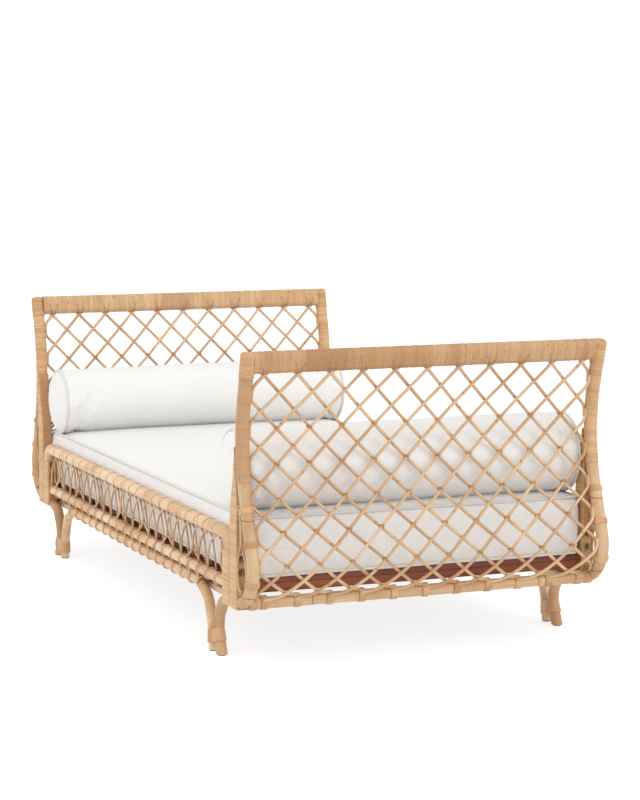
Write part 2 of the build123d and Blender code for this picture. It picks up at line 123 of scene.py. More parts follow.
# ---------------------------------------------------------------- meshes
class Piece:
    """Gathers tubes and wound sleeves into one mesh."""

    def __init__(self):
        self.points, self.faces, self.grain, self.strip = [], [], [], []
        self.count = 0

    def rows(self, rings, grain, strip, closed=False):
        """Adds a skin over rings of points, with a cap at each end unless it is a closed loop."""
        steps, sides = rings.shape[:2]
        index = self.count + np.arange(steps * sides).reshape(steps, sides)
        following = np.roll(index, -1, axis=0) if closed else index[1:]
        lower = index if closed else index[:-1]
        quads = np.stack([lower, np.roll(lower, -1, axis=1), np.roll(following, -1, axis=1), following],
                         axis=-1)
        self.faces += quads.reshape(-1, 4).tolist()
        if not closed:
            self.faces.append(index[0][::-1].tolist())
            self.faces.append(index[-1].tolist())
        self.points.append(rings.reshape(-1, 3))
        self.grain.append(grain.reshape(-1, 3))
        self.strip.append(strip.reshape(-1))
        self.count += steps * sides

    def sweep(self, path, outline, normals=None, up=None, scale=None, closed=False, dent=None):
        """Carries an outline along a path. dent is how far each point is pushed in, by step and side."""
        if closed:
            along = np.roll(path, -1, axis=0) - np.roll(path, 1, axis=0)
        else:
            along = np.gradient(path, axis=0)
        along /= np.linalg.norm(along, axis=1)[:, None]
        if up is None:
            first = np.array([0, 0, 1] if abs(along[0][2]) < 0.8 else [0, 1, 0], float)
        side_a = np.empty_like(path)
        for k, t in enumerate(along):
            if up is not None:
                first = np.array(up, float)
            first = first - t * (first @ t)
            first /= np.linalg.norm(first)
            side_a[k] = first
        side_b = np.cross(along, side_a)
        flat = np.repeat(outline[None], len(path), axis=0)
        if scale is not None:
            flat = flat * scale[:, None, None]
        if dent is not None:
            flat = flat - normals[None] * dent[..., None]
        rings = path[:, None] + flat[..., :1] * side_a[:, None] + flat[..., 1:] * side_b[:, None]
        seed = random.random() * 40
        run = np.repeat((lengths(path) + seed)[:, None, None], len(outline), axis=1)
        return rings, np.concatenate([run, flat + seed], axis=2)

    def tube(self, path, radius, sides, up=None, closed=False, squash=1.0):
        """A round or flattened strand along a path."""
        outline, _ = circle(radius, sides, squash)
        rings, grain = self.sweep(path, outline, up=up, closed=closed)
        self.rows(rings, grain, np.full(rings.shape[:2], random.random() * 500), closed)

    def wound(self, path, outline, normals, pitch, depth, up=None, scale=None, slant=1.0):
        """A sleeve of strip wound round a pole: flat turns with a groove between each two."""
        path = resample(path, pitch / 6)
        sides = len(outline)
        if callable(scale):
            scale = scale(lengths(path) / lengths(path)[-1])
        turn = lengths(path)[:, None] / pitch + slant * np.arange(sides)[None] / sides
        wander = 0.10 * np.sin(turn * 0.7 + 2 * np.arange(sides)[None] * math.pi / sides)
        turn = turn + wander
        lift = random.normal(0, 0.22 * depth, int(turn.max()) + 3)
        edge = np.abs(2 * np.mod(turn, 1.0) - 1) ** 4
        dent = depth * edge + lift[np.floor(turn).astype(int)] * (1 - edge)
        rings, grain = self.sweep(path, outline, normals, up=up, scale=scale, dent=dent)
        self.rows(rings, grain, turn + int(random.random() * 500))

    def copies(self, mirrors):
        """Repeats what is there so far with each set of signs, turning the faces over where needed."""
        points, grain = np.concatenate(self.points), np.concatenate(self.grain)
        strip = np.concatenate(self.strip)
        faces = list(self.faces)
        for signs in mirrors:
            start = self.count
            self.points.append(points * signs)
            self.grain.append(grain + random.random() * 9)
            self.strip.append(strip + int(random.random() * 300))
            over = np.prod(signs) < 0
            self.faces += [[v + start for v in (reversed(f) if over else f)] for f in faces]
            self.count += len(points)

    def build(self, name, material, body, slot, replaces=()):
        """Makes the object, hung on its CAD body."""
        mesh = bpy.data.meshes.new(name)
        points = np.concatenate(self.points)
        mesh.from_pydata(points.tolist(), [], self.faces)
        mesh.attributes.new("grain", "FLOAT_VECTOR", "POINT").data.foreach_set(
            "vector", np.concatenate(self.grain).astype(np.float32).ravel())
        mesh.attributes.new("strip", "FLOAT", "POINT").data.foreach_set(
            "value", np.concatenate(self.strip).astype(np.float32))
        mesh.polygons.foreach_set("use_smooth", [len(f) == 4 for f in self.faces])
        mesh.materials.append(material)
        mesh.update()
        made = bpy.data.objects.new(name, mesh)
        bpy.context.scene.collection.objects.link(made)
        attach(made, body)
        if replaces:
            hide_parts(*replaces)
        return made


# ---------------------------------------------------------------- materials
class Nodes:
    """A short way to write a material's nodes."""

    def __init__(self, name):
        self.material = bpy.data.materials.new(name)
        self.material.use_nodes = True
        self.tree = self.material.node_tree
        self.shader = self.tree.nodes["Principled BSDF"]

    def plug(self, value, socket):
        if hasattr(value, "is_linked"):
            self.tree.links.new(value, socket)
        else:
            socket.default_value = value

    def add(self, kind, inputs=(), output=0, **settings):
        node = self.tree.nodes.new(kind)
        for key, value in settings.items():
            setattr(node, key, value)
        for key, value in dict(inputs).items():
            self.plug(value, node.inputs[key])
        return node.outputs[output]

    def math(self, operation, a, b=0.0, c=0.0):
        return self.add("ShaderNodeMath", {0: a, 1: b, 2: c}, operation=operation)

    def stretched(self, vector, x, y, z):
        return self.add("ShaderNodeVectorMath", {0: vector, 1: (x, y, z)}, operation="MULTIPLY")

    def noise(self, vector, scale=1.0, detail=2.0, roughness=0.5):
        return self.add("ShaderNodeTexNoise", {"Vector": vector, "Scale": scale, "Detail": detail,
                                               "Roughness": roughness})

    def spread(self, value, low, high, to_low=0.0, to_high=1.0):
        return self.add("ShaderNodeMapRange", {0: value, 1: low, 2: high, 3: to_low, 4: to_high},
                        interpolation_type="SMOOTHSTEP")

    def mix(self, factor, a, b):
        node = self.tree.nodes.new("ShaderNodeMix")
        node.data_type = "RGBA"
        self.plug(factor, node.inputs[0])
        self.plug(a, node.inputs[6])
        self.plug(b, node.inputs[7])
        return node.outputs[2]

    def bump(self, height, distance, strength):
        made = self.add("ShaderNodeBump", {"Height": height, "Distance": distance, "Strength": strength})
        self.plug(made, self.shader.inputs["Normal"])

    def finish(self, colour, roughness, **uniform):
        self.plug(colour, self.shader.inputs["Base Color"])
        self.plug(roughness, self.shader.inputs["Roughness"])
        for key, value in uniform.items():
            self.shader.inputs[key.replace("_", " ")].default_value = value
        return self.material


def rgb(red, green, blue):
    """A linear colour from display values of 0 to 255."""
    linear = [((v / 255 + 0.055) / 1.055) ** 2.4 if v > 10 else v / 3295 for v in (red, green, blue)]
    return (*linear, 1.0)


def along(n, axis):
    """A vector whose X runs along the pole: from the piece's own grain, or along an axis of the frame."""
    if axis is None:
        return n.add("ShaderNodeAttribute", attribute_name="grain", output=1)
    place = n.add("ShaderNodeTexCoord", output=3)
    if axis == "X":
        return place
    turned = {"Y": (0, 0, math.pi / 2), "Z": (0, math.pi / 2, 0)}[axis]
    return n.add("ShaderNodeVectorRotate", {"Vector": place, "Rotation": turned}, rotation_type="EULER_XYZ")


def cane(name, axis, light, tan, knots=0.34):
    """Peeled rattan: fine fibres along the pole, slow changes of tone, thin dark knots and a few specks.

    knots is how far apart the knots are."""
    n = Nodes(name)
    grain = along(n, axis)
    slow = n.noise(n.stretched(grain, 5, 14, 14), detail=3)
    fibres = n.noise(n.stretched(grain, 9, 620, 620), detail=3, roughness=0.65)
    streaks = n.noise(n.stretched(grain, 2.5, 110, 110), detail=2)
    colour = n.mix(n.spread(slow, 0.34, 0.66), rgb(*light), rgb(*tan))
    colour = n.mix(n.spread(streaks, 0.50, 0.72, 0, 0.45), colour, rgb(188, 138, 92))
    colour = n.mix(n.spread(fibres, 0.30, 0.75, 0.0, 0.30), colour, rgb(150, 104, 66))
    run = n.add("ShaderNodeSeparateXYZ", {0: grain})
    wobble = n.math("MULTIPLY", n.noise(n.stretched(grain, 3, 40, 40)), 0.012)
    near_knot = n.math("PINGPONG", n.math("ADD", run, wobble), knots / 2)
    ring = n.spread(near_knot, 0.0006, 0.0022, 0.75, 0.0)
    halo = n.spread(near_knot, 0.002, 0.016, 0.28, 0.0)
    colour = n.mix(halo, colour, rgb(196, 143, 96))
    colour = n.mix(ring, colour, rgb(104, 68, 42))
    specks = n.noise(n.stretched(grain, 70, 160, 160), detail=1)
    colour = n.mix(n.spread(specks, 0.73, 0.79, 0, 0.55), colour, rgb(120, 78, 48))
    n.bump(n.math("ADD", n.math("MULTIPLY", fibres, 0.5), n.math("MULTIPLY", ring, -0.8)), 0.0006, 0.6)
    return n.finish(colour, n.spread(slow, 0.2, 0.8, 0.36, 0.54), Specular_IOR_Level=0.42)


def wound_peel(name, light, tan, tone=None, end_face_shade=None):
    """Wound strips of rattan peel, each turn with its own tone and a dark line where two turns meet.

    tone lists patches of colour along Y, and the end-face colour is a painted shade on the faces towards the
    bed's ends, which lie in shadow."""
    n = Nodes(name)
    grain = n.add("ShaderNodeAttribute", attribute_name="grain", output=1)
    turn = n.add("ShaderNodeAttribute", attribute_name="strip", output=2)
    own = n.add("ShaderNodeTexWhiteNoise", {"W": n.math("FLOOR", turn)}, noise_dimensions="1D")
    slow = n.noise(n.stretched(grain, 9, 5, 5), detail=2)
    fibres = n.noise(n.stretched(grain, 900, 70, 70), detail=2, roughness=0.6)
    share = n.math("ADD", n.math("MULTIPLY", own, 0.32), n.math("MULTIPLY", slow, 0.75))
    colour = n.mix(n.spread(share, 0.25, 0.90), rgb(*light), rgb(*tan))
    if tone:
        y = n.add("ShaderNodeSeparateXYZ", {0: n.add("ShaderNodeTexCoord", output=3)}, output=1)
        y = n.math("ADD", y, n.math("MULTIPLY", n.math("SUBTRACT", own, 0.5), 0.012))
        for start, end, patch, strength in tone:
            inside = n.math("MULTIPLY", n.spread(y, start - 0.004, start + 0.004),
                            n.spread(y, end - 0.004, end + 0.004, 1, 0))
            colour = n.mix(n.math("MULTIPLY", inside, strength), colour, rgb(*patch))
    # Painted shade: faces towards the bed's ends are darkened by their normal, as if in shadow.
    if end_face_shade:
        facing = n.add("ShaderNodeSeparateXYZ", {0: n.add("ShaderNodeNewGeometry", output=3)}, output=0)
        facing = n.spread(n.math("ABSOLUTE", facing), 0.55, 0.85)
        colour = n.mix(facing, colour, rgb(*end_face_shade))
    colour = n.mix(n.spread(fibres, 0.45, 0.8, 0, 0.35), colour, rgb(150, 100, 60))
    edge = n.math("ABSOLUTE", n.math("MULTIPLY_ADD", n.math("FRACT", turn), 2.0, -1.0))
    colour = n.mix(n.spread(edge, 0.72, 1.0, 0, 0.55), colour, rgb(120, 78, 45))
    blemish = n.noise(n.stretched(grain, 60, 45, 45), detail=1)
    colour = n.mix(n.spread(blemish, 0.70, 0.78, 0, 0.5), colour, rgb(126, 78, 44))
    n.bump(fibres, 0.0004, 0.5)
    return n.finish(colour, 0.5, Specular_IOR_Level=0.35)


def stained_wood(name, axis, light, dark):
    """Stained timber with its grain along one axis."""
    n = Nodes(name)
    grain = along(n, axis)
    slow = n.noise(n.stretched(grain, 2.5, 28, 28), detail=4)
    pores = n.noise(n.stretched(grain, 14, 420, 420), detail=2)
    colour = n.mix(n.spread(slow, 0.3, 0.7), rgb(*light), rgb(*dark))
    colour = n.mix(n.spread(pores, 0.5, 0.8, 0, 0.5), colour, rgb(48, 25, 16))
    n.bump(pores, 0.0004, 0.5)
    return n.finish(colour, 0.45, Specular_IOR_Level=0.4)


def cotton(name, shade):
    """White cotton: a fine weave with slubs that run both ways."""
    n = Nodes(name)
    place = n.add("ShaderNodeTexCoord", output=3)
    slub_x = n.noise(n.stretched(place, 22, 640, 640), detail=2)
    slub_y = n.noise(n.stretched(place, 640, 22, 640), detail=2)
    cloud = n.noise(place, scale=5, detail=3)
    weave = n.math("ADD", slub_x, slub_y)
    dark = tuple(c - 9 for c in shade)
    colour = n.mix(n.spread(weave, 0.85, 1.2, 0, 1), rgb(*shade), rgb(*dark))
    colour = n.mix(n.spread(cloud, 0.35, 0.7, 0, 0.5), colour, rgb(*(c - 5 for c in shade)))
    n.bump(weave, 0.0005, 0.45)
    return n.finish(colour, 0.92, Specular_IOR_Level=0.15, Sheen_Weight=0.15)


def metal(name):
    """Dulled zinc plate."""
    n = Nodes(name)
    place = n.add("ShaderNodeTexCoord", output=3)
    scuff = n.noise(place, scale=260, detail=3)
    colour = n.mix(scuff, rgb(158, 134, 106), rgb(128, 106, 82))
    return n.finish(colour, n.spread(scuff, 0.3, 0.7, 0.40, 0.55), Metallic=1.0)


def plastic(name):
    """Dark matt plastic."""
    n = Nodes(name)
    place = n.add("ShaderNodeTexCoord", output=3)
    grainy = n.noise(place, scale=900, detail=2)
    n.bump(grainy, 0.0002, 0.4)
    return n.finish(n.mix(grainy, rgb(46, 42, 38), rgb(60, 55, 50)), 0.6)


pole_x = cane("cane_x", "X", light=(228, 200, 163), tan=(204, 168, 128))
pole_y = cane("cane_y", "Y", light=(212, 182, 144), tan=(184, 148, 108))
# The vertical poles' cane is darker than the rails': partly the cane's own tone and partly painted shade,
# taken from the foot end's darker poles.
pole_z = cane("cane_z", "Z", light=(204, 174, 138), tan=(178, 142, 104), knots=0.208)
leg_cane = cane("cane_leg", "Z", light=(196, 160, 121), tan=(168, 129, 90), knots=0.208)
reed = cane("cane_reed", None, light=(214, 183, 147), tan=(187, 149, 110), knots=0.55)
side_reed = cane("cane_side_reed", None, light=(215, 182, 144), tan=(188, 148, 108), knots=0.6)
lashing = cane("cane_lashing", None, light=(206, 168, 124), tan=(176, 130, 88), knots=5.0)
dark_lashing = cane("cane_tie", None, light=(206, 160, 112), tan=(172, 124, 80), knots=5.0)
corner_peel = wound_peel("wound_peel_corner", (204, 166, 122), (176, 136, 95))
# The posts' faces towards the bed's ends get a painted shade.
post_peel = wound_peel("wound_peel_post", (216, 180, 137), (188, 146, 103), end_face_shade=(184, 140, 98))
# The foot end's peel is a darker copy of the head end's, with a darker patch on its left pole: partly the
# peel's own tone and partly painted shade.
foot_peel = wound_peel("wound_peel_foot", (206, 168, 126), (178, 138, 98),
                       [(-0.6, -0.4, (172, 134, 97), 0.6)])
peel = wound_peel("wound_peel", (218, 182, 138), (188, 144, 100))
# The foot rail's peel is darker than the head rail's, with darker patches on its left half: partly the peel's
# own tone and partly painted shade.
foot_rail_peel = wound_peel("wound_peel_foot_rail", (194, 157, 116), (168, 126, 86),
                            [(-0.36, -0.24, (162, 120, 84), 0.75), (-0.24, 0.0, (176, 132, 88), 0.6)])
head_rail_peel = wound_peel("wound_peel_head_rail", (210, 176, 133), (184, 144, 102),
                            [(-0.08, 0.02, (184, 142, 108), 0.75), (0.30, 0.46, (196, 150, 104), 0.45)])
rail_wood = stained_wood("stained_rail", "Y", (156, 90, 58), (116, 62, 38))
# The slats and ledgers are darker than the end rail: a wood stain plus painted shade for the shadow under the
# mattress.
slat_wood_shaded = stained_wood("stained_slats_painted_shade", "Y", (128, 72, 48), (94, 52, 34))
ledger_wood_shaded = stained_wood("stained_ledgers_painted_shade", "X", (118, 66, 44), (88, 48, 32))
cover = cotton("cotton", (227, 226, 223))
# The piping's cotton is greyer than the cover: painted shade standing in for the seam's shadow beside the
# piping.
piping = cotton("cotton_piping", (216, 213, 208))
steel = metal("zinc_steel")
glide = plastic("glide_plastic")

for name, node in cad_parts.items():
    if name.endswith("end_rail"):
        chosen = rail_wood
    elif name == "slats":
        chosen = slat_wood_shaded
    elif name.endswith("ledger"):
        chosen = ledger_wood_shaded
    elif name in ("slat_screws", "bed_bolts", "bolt_washers", "bolt_nuts"):
        chosen = steel
    elif name == "glides":
        chosen = glide
    elif name.endswith("bottom_rail") or "top_rail" in name:
        chosen = pole_y
    elif name.endswith(("side_rail", "inner_side_pole", "leg_rail")):
        chosen = pole_x
    elif name.endswith("leg_pole"):
        chosen = leg_cane
    else:
        chosen = pole_z
    node.data.materials.clear()
    node.data.materials.append(chosen)

# ---------------------------------------------------------------- the end frame's curved surface
profile = resample(rounded(PROFILE, PROFILE_BENDS), 0.002)
profile_at = lengths(profile)
profile_run = np.gradient(profile, axis=0)
profile_run /= np.linalg.norm(profile_run, axis=1)[:, None]


def surface(s, out=0.0):
    """The point (x, z) a distance s down the outer pole's centre line, moved outwards by out."""
    x, z = np.interp(s, profile_at, profile[:, 0]), np.interp(s, profile_at, profile[:, 1])
    dx, dz = np.interp(s, profile_at, profile_run[:, 0]), np.interp(s, profile_at, profile_run[:, 1])
    return x - dz * out, z + dx * out


def station_of(z):
    """How far down the pole it first reaches a height."""
    return float(profile_at[np.argmax(profile[:, 1] <= z)])


def on_surface(flat, out):
    """Points in space from (s, y) points laid on the curved surface."""
    x, z = surface(flat[:, 0], out)
    return np.stack([x, flat[:, 1], z], axis=1)


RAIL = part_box("foot_bottom_rail")
rail_x, rail_z = (RAIL[0].x + RAIL[1].x) / 2, (RAIL[0].z + RAIL[1].z) / 2
rail_r = (RAIL[1].z - RAIL[0].z) / 2
# The lattice's first crossings, the distance between half rows and how much less each next one is
LATTICE_TOP_Z, HALF_ROW, HALF_ROW_LESS = 0.797, 0.0515, 0.00035
HALF_ROWS = 12
FIRST_STRAND, LAST_STRAND = -11, 5
HALF_TIES = 5  # ties on each side of the middle one
# Where a strand meets a post it runs along it: how far, how sharply, and how many points of it that replaces
TURN_RUN, TURN_BEND, TURN_POINTS = 0.030, 0.040, 30
LASH_HEIGHTS = (0.435, 0.347, 0.245)

s_top = station_of(LATTICE_TOP_Z)
s_low = station_of(rail_z + rail_r + 0.001)
y_edge = POLE_Y - 0.0186


def half_row(h):
    """How far down the surface half row h lies: they draw together a little towards the bottom."""
    return s_top + HALF_ROW * h - HALF_ROW_LESS * h * h


def reaches_rail(out, distance):
    """How far down the surface a reed lies against the bottom rail."""
    for s in np.arange(s_low - 0.03, s_low + 0.03, 0.0005):
        x, z = surface(s, out)
        if math.hypot(x - rail_x, z - rail_z) <= distance:
            return s
    return s_low


def lattice_reeds(piece, towards, out):
    """All the reeds of one direction: straight on the curved surface, turned along the posts and the rail."""
    s_lay = reaches_rail(out, rail_r + REED_R * 0.7)
    for k in range(FIRST_STRAND, LAST_STRAND + 1):
        y_top = k * LATTICE_PITCH
        steps = np.arange(-0.25, HALF_ROWS + 0.01, 0.25)
        flat = np.stack([half_row(steps), y_top + steps * LATTICE_PITCH / 2], axis=1)
        slope = (flat[-1, 1] - flat[-2, 1]) / (flat[-1, 0] - flat[-2, 0])
        turned = rounded([flat[-1], (s_lay, flat[-1, 1] + slope * (s_lay - flat[-1, 0])),
                          (s_lay, flat[-1, 1] + LATTICE_PITCH + 0.005)], [0.052], 0.006)
        flat = resample(np.concatenate([flat, turned[1:]]), 0.002)
        flat = flat[(flat[:, 1] > -y_edge) & (flat[:, 1] < y_edge)]
        if y_top < -y_edge:
            start = [(flat[0, 0] - TURN_RUN, -y_edge), (flat[0, 0], -y_edge)]
            turned = rounded(start + [flat[TURN_POINTS]], [TURN_BEND], 0.006)
            flat = np.concatenate([turned, flat[TURN_POINTS + 1:]])
        if flat[-1, 1] > y_edge - 0.004 and flat[-1, 0] < s_lay - 0.02:
            stop = [(flat[-1, 0], y_edge), (flat[-1, 0] + TURN_RUN, y_edge)]
            turned = rounded([flat[-TURN_POINTS - 1]] + stop, [TURN_BEND], 0.006)
            flat = np.concatenate([flat[:-TURN_POINTS - 1], turned])
        path = resample(flat, 0.007)
        path[:, 1] *= towards
        path[:, 1] += 0.0008 * np.sin(path[:, 0] * 21 + k * 1.7)
        lift = out + 0.0007 * np.sin(path[:, 0] * 17 + k * 2.3)
        piece.tube(on_surface(path, lift), REED_R * random.uniform(0.94, 1.04), 10)


def turn_head(piece, end):
    """The head end is the foot end turned half round."""
    if end < 0:
        piece.points = [p * [-1, -1, 1] for p in piece.points]


def mirror_left(piece, side):
    """The left side is the right side mirrored."""
    if side < 0:
        piece.points = [p * [1, -1, 1] for p in piece.points]
        piece.faces = [f[::-1] for f in piece.faces]


def narrowed(loss):
    """A lashing's size along it: full in its middle and smaller at both ends."""
    return lambda t: 1 - loss * np.abs(2 * t - 1) ** 6


tied_rows = [half_row(h) for h in range(3, HALF_ROWS, 2)]
for end_name, end in ENDS.items():
    reeds = Piece()
    lattice_reeds(reeds, -1, REED_LAYER * 0.92)
    lattice_reeds(reeds, 1, -REED_LAYER * 0.92)
    turn_head(reeds, end)
    reeds.build(f"{end_name}_lattice_reeds", reed, "frame", "rattan_reed",
                (f"{end_name}_lattice_front", f"{end_name}_lattice_back"))

    ties = Piece()
    for s in tied_rows:
        for m in range(-HALF_TIES, HALF_TIES):
            y = (m + 0.5) * LATTICE_PITCH
            for turn_at in (-0.0030, 0.0, 0.0030):
                lean = random.uniform(-0.0016, 0.0016)
                angle = np.arange(14) * 2 * math.pi / 14
                reach_y = 0.0066 - 7 * abs(turn_at) ** 1.5
                loop = np.stack([s + turn_at + lean * np.cos(angle), y + reach_y * np.cos(angle)], axis=1)
                x, z = surface(loop[:, 0], 0.0108 * np.sin(angle))
                ties.tube(np.stack([x, loop[:, 1], z], axis=1), 0.0015, 6, closed=True, up=(0, 0.3, 1))
    turn_head(ties, end)
    ties.build(f"{end_name}_lattice_ties", dark_lashing, "frame", "rattan_reed")

    # Lashings on the lower half of the outer poles, and the ties on the bottom rail
    lashes = Piece()
    outline, normals = circle(POLE_R + 0.0034, 20)
    for s in (station_of(z) for z in LASH_HEIGHTS):
        at = np.linspace(s - 0.0085, s + 0.0085, 9)
        path = np.stack([surface(at)[0], np.full(9, POLE_Y), surface(at)[1]], axis=1)
        lashes.wound(path, outline, normals, 0.0044, 0.0011, scale=narrowed(0.10))
    lashes.copies([(1, -1, 1)])
    for k in range(-HALF_TIES, HALF_TIES + 1):
        y = k * LATTICE_PITCH
        path = np.array([(rail_x + 0.0015, y + d, rail_z + 0.0015) for d in (-0.010, 0, 0.010)])
        lashes.wound(path, *circle(rail_r + 0.0042, 20), 0.0068, 0.0014, slant=0.6, scale=narrowed(0.08))
    for y in (-0.503, 0.503):
        path = np.array([(rail_x, y + d, rail_z) for d in (-0.010, 0, 0.010)])
        lashes.wound(path, *circle(rail_r + 0.0022, 20), 0.0048, 0.0011)
    turn_head(lashes, end)
    lashes.build(f"{end_name}_lashings", lashing, "frame", "rattan_reed")

    # Wound peel on the upper half of the outer poles
    wraps = Piece()
    at = np.linspace(station_of(0.812), station_of(0.505), 60)
    path = np.stack([surface(at)[0], np.full(60, POLE_Y), surface(at)[1]], axis=1)
    wraps.wound(path, *circle(POLE_R + 0.0016, 22), 0.0052, 0.0008, up=(0, 1, 0))
    wraps.copies([(1, -1, 1)])
    turn_head(wraps, end)
    wraps.build(f"{end_name}_pole_wraps", foot_peel if end > 0 else peel, "frame", "rattan_binding",
                (f"{end_name}_pole_bindings",))

    # Wound peel on the top rail, and a sleeve round each of its corners that covers the pole's tip
    rail = Piece()
    lean = (math.sin(TOP_LEAN), 0, math.cos(TOP_LEAN))
    low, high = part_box("foot_corner_bindings")
    centre_x, centre_z = (low.x + high.x) / 2, (low.z + high.z) / 2
    path = np.array([(centre_x, y, centre_z) for y in np.linspace(-0.506, 0.506, 40)])
    outline, normals = rounded_box(0.0615, 0.0352, 0.0172, per_corner=7, per_side=5)
    rail.wound(path, outline, normals, 0.0064, 0.0012, up=lean, slant=0.35)
    turn_head(rail, end)
    rail_peel = foot_rail_peel if end > 0 else head_rail_peel
    rail.build(f"{end_name}_top_wrap", rail_peel, "frame", "rattan_binding",
               (f"{end_name}_top_rail_binding", f"{end_name}_corner_bindings"))

    corners = Piece()
    tip = np.array([PROFILE[0][0], POLE_Y, PROFILE[0][1]])
    upwards = np.array([PROFILE[0][0] - PROFILE[1][0], 0, PROFILE[0][1] - PROFILE[1][1]])
    upwards /= np.linalg.norm(upwards)
    path = np.array([tip + upwards * d for d in np.linspace(-0.061, 0.0068, 20)])

    def rounded_tip(t):
        """The sleeve's size up the pole: full, and rounded off at the top."""
        from_top = np.clip((1 - t) * 0.0678 / 0.010, 0, 1)
        return 0.55 + 0.45 * np.sqrt(np.clip(1 - (1 - from_top) ** 2, 0, 1))

    corners.wound(path, *circle(0.0206, 24), 0.0056, 0.0011, up=(0, 1, 0), scale=rounded_tip)
    corners.copies([(1, -1, 1)])
    turn_head(corners, end)
    corners.build(f"{end_name}_corner_wraps", corner_peel, "frame", "rattan_binding")

    # The strips that hold each pair of lattice reeds under the rail
    holds = Piece()
    underside = np.array([centre_x, 0, centre_z]) - np.array(lean) * 0.0300
    for k in range(-HALF_TIES, HALF_TIES + 1):
        for side in (-1, 1):
            for step in range(2):
                foot_y = k * LATTICE_PITCH + side * (0.004 + 0.005 * step)
                head_y = k * LATTICE_PITCH + side * (0.010 + 0.006 * step)
                for face in (-1, 1):
                    across = face * np.array([math.cos(TOP_LEAN), 0, -math.sin(TOP_LEAN)])
                    points = [underside + [0, foot_y, 0] + across * 0.004 - np.array(lean) * 0.003,
                              underside + [0, foot_y, 0] + across * 0.0172 + np.array(lean) * 0.008,
                              underside + [0, head_y, 0] + across * 0.0172 + np.array(lean) * 0.030]
                    holds.tube(rounded(points, [0.010], 0.003), 0.0024, 6, up=across, squash=0.4)
    turn_head(holds, end)
    holds.build(f"{end_name}_reed_straps", reed, "frame", "rattan_binding")

# ---------------------------------------------------------------- wound corner posts
POST_STRIP, POST_GROOVE = 0.0060, 0.0012  # the peel's width and the depth between two turns
POST_INNER = [(0.160, 0.9343), (0.330, 0.9343), (0.434, 0.941), (0.520, 0.964), (0.600, 0.976)]
POST_OUTER = [(0.160, 0.993), (0.380, 0.993), (0.434, 0.997), (0.490, 0.992), (0.532, 0.984), (0.600, 0.979)]


def wound_post(piece, inner, outer, low_z, high_z, y_low, y_high):
    """A rectangular post wound with peel, its two faces following lines of (z, x)."""
    heights = np.arange(low_z, high_z + 1e-6, POST_STRIP / 6)
    start, _ = rounded_box(1, 1, 0.1)
    sides = len(start)
    turn = (heights - low_z)[:, None] / POST_STRIP + 0.5 * np.arange(sides)[None] / sides
    lift = random.normal(0, 0.2 * POST_GROOVE, int(turn.max()) + 3)
    edge = np.abs(2 * np.mod(turn, 1) - 1) ** 4
    dent = POST_GROOVE * edge + lift[np.floor(turn).astype(int)] * (1 - edge)
    rings = np.empty((len(heights), sides, 3))
    seed = random.random() * 40
    for k, z in enumerate(heights):
        x0 = np.interp(z, *zip(*inner))
        x1 = max(np.interp(z, *zip(*outer)), x0 + 0.004)
        corner = min(0.005, (x1 - x0) * 0.42)
        points, normals = rounded_box(x1 - x0, y_high - y_low, corner)
        points = points - normals * dent[k][:, None]
        rings[k] = np.stack([points[:, 0] + (x0 + x1) / 2, points[:, 1] + (y_low + y_high) / 2,
                             np.full(sides, z)], axis=1)
    grain = np.stack([rings[..., 2] + seed, rings[..., 0] + seed, rings[..., 1] + seed], axis=-1)
    piece.rows(rings, grain, turn + int(seed * 9))


for end_name, end in ENDS.items():
    posts = Piece()
    low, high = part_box("foot_end_post_right")
    wound_post(posts, POST_INNER, POST_OUTER, low.z, high.z, low.y, high.y)
    posts.copies([(1, -1, 1)])
    turn_head(posts, end)
    posts.build(f"{end_name}_post_wraps", post_peel, "frame", "rattan_binding",
                (f"{end_name}_end_post_right", f"{end_name}_end_post_left"))

for side_name, side in SIDES.items():
    posts = Piece()
    low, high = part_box("right_side_posts")
    wound_post(posts, [(0, 0.876), (1, 0.876)], [(0, 0.9336), (1, 0.9336)], low.z, high.z, low.y, high.y)
    posts.copies([(-1, 1, 1)])
    mirror_left(posts, side)
    posts.build(f"{side_name}_side_post_wraps", post_peel, "frame", "rattan_binding",
                (f"{side_name}_side_posts",))

# ---------------------------------------------------------------- twisted reeds between post and pole
for end_name, end in ENDS.items():
    loops = Piece()
    outer = [(1.002, 0.446), (1.018, 0.400), (1.024, 0.350), (0.996, 0.300), (0.992, 0.255), (1.004, 0.214),
             (1.026, 0.216)]
    inner = [(1.002, 0.446), (0.996, 0.380), (0.998, 0.345), (1.036, 0.298), (1.044, 0.258), (1.036, 0.222),
             (1.020, 0.206)]
    for line, y in ((outer, 0.5355), (inner, 0.5290)):
        path = [(x, y, z) for x, z in line]
        loops.tube(rounded(path, [0.03, 0.03, 0.028, 0.026, 0.016], 0.003), 0.0030, 8)
    for x, z in ((1.003, 0.436), (1.010, 0.318), (1.016, 0.211)):
        angle = np.arange(12) * 2 * math.pi / 12
        for step in (-0.003, 0.001):
            loop = np.stack([x + 0.0065 * np.cos(angle), 0.532 + 0.0075 * np.sin(angle),
                             np.full(12, z + step)], axis=1)
            loops.tube(loop, 0.0018, 6, closed=True, up=(0, 0, 1))
    loops.copies([(1, -1, 1)])
    turn_head(loops, end)
    loops.build(f"{end_name}_side_loops", side_reed, "frame", "rattan_reed", (f"{end_name}_side_reeds",))

